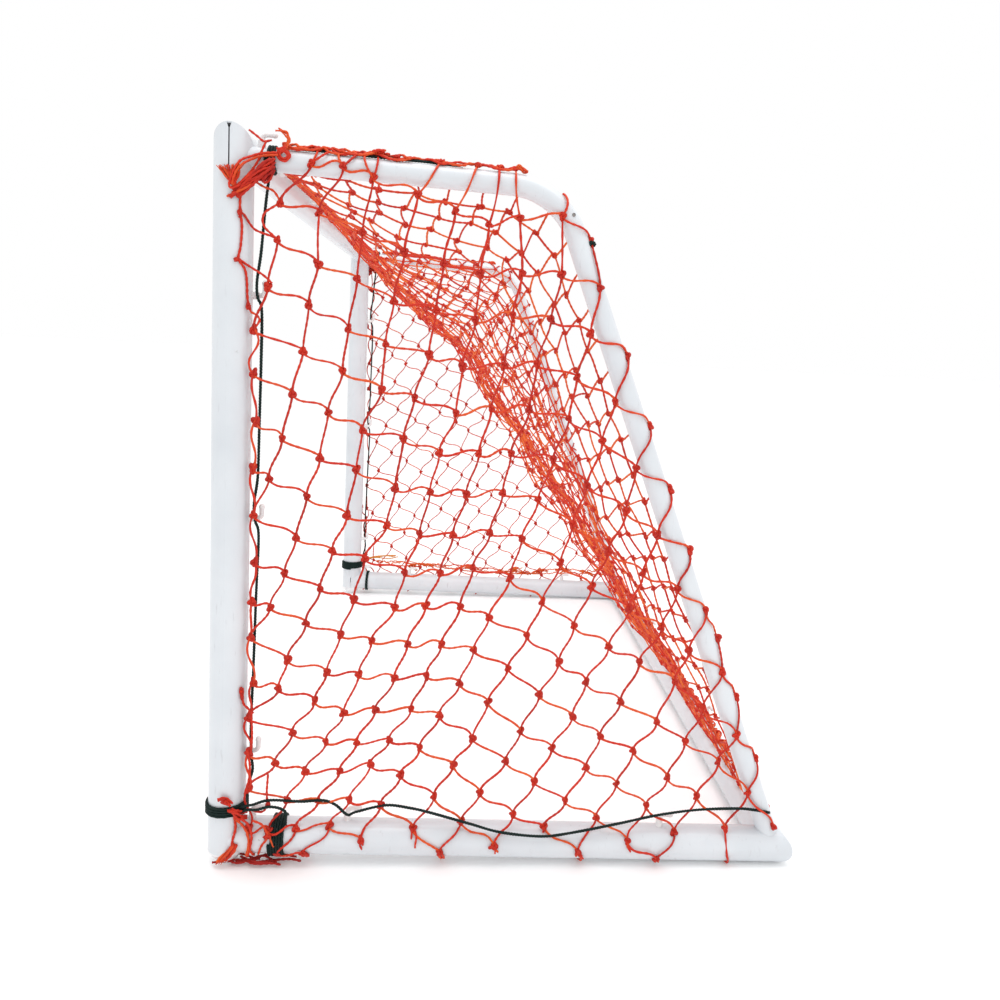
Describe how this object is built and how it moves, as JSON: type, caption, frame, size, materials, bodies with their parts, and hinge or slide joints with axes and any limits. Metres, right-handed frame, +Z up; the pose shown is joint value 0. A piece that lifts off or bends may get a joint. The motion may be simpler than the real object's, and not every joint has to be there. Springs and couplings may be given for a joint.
{
  "type": "hockey goal net",
  "caption": "Small practice goal: white painted steel tube frame with sloping side hoops, moulded net hooks and a red knotted twine net laced on with dark green cord.",
  "frame": {"origin": "on the ground, at the middle of the goal's width and depth", "axes": "+Z up; -Y out of the goal mouth, towards the shooter; +X to the right for somebody who looks into the mouth"},
  "size_m": [1.2262, 0.7683, 0.914],
  "materials": {
    "frame_paint": "white powder coat, semi-gloss, light scuffs",
    "hooks": "white moulded nylon",
    "caps": "white moulded plug, scuffed",
    "steel_fittings": "dark zinc plate",
    "twine": "red twisted polyethylene twine, knotted",
    "lacing": "dark green twisted polyethylene cord"
  },
  "bodies": {
    "root": {"right_post": "frame_paint", "left_post": "frame_paint", "crossbar": "frame_paint", "right_base_tube": "frame_paint", "left_base_tube": "frame_paint", "rear_base_bar": "frame_paint", "right_top_bend": "frame_paint", "left_top_bend": "frame_paint", "right_back_stay": "frame_paint", "left_back_stay": "frame_paint", "right_stay_sleeve": "steel_fittings", "left_stay_sleeve": "steel_fittings", "stay_rivets": "steel_fittings", "right_foot_cap": "caps", "left_foot_cap": "caps", "right_post_hooks": "hooks", "left_post_hooks": "hooks", "right_base_hooks": "hooks", "left_base_hooks": "hooks", "top_hooks": "hooks", "crossbar_hooks": "hooks", "rear_bar_hooks": "hooks", "right_side_net": "twine", "left_side_net": "twine", "back_net": "twine", "right_post_cord": "lacing", "left_post_cord": "lacing", "right_base_cord": "lacing", "right_top_cord": "lacing", "right_tie_cord": "lacing", "crossbar_cord": "lacing", "right_post_wrap": "lacing", "left_post_wrap": "lacing", "right_base_wrap": "lacing", "left_base_wrap": "lacing", "right_top_wrap": "lacing", "left_top_wrap": "lacing"}
  },
  "joints": []
}
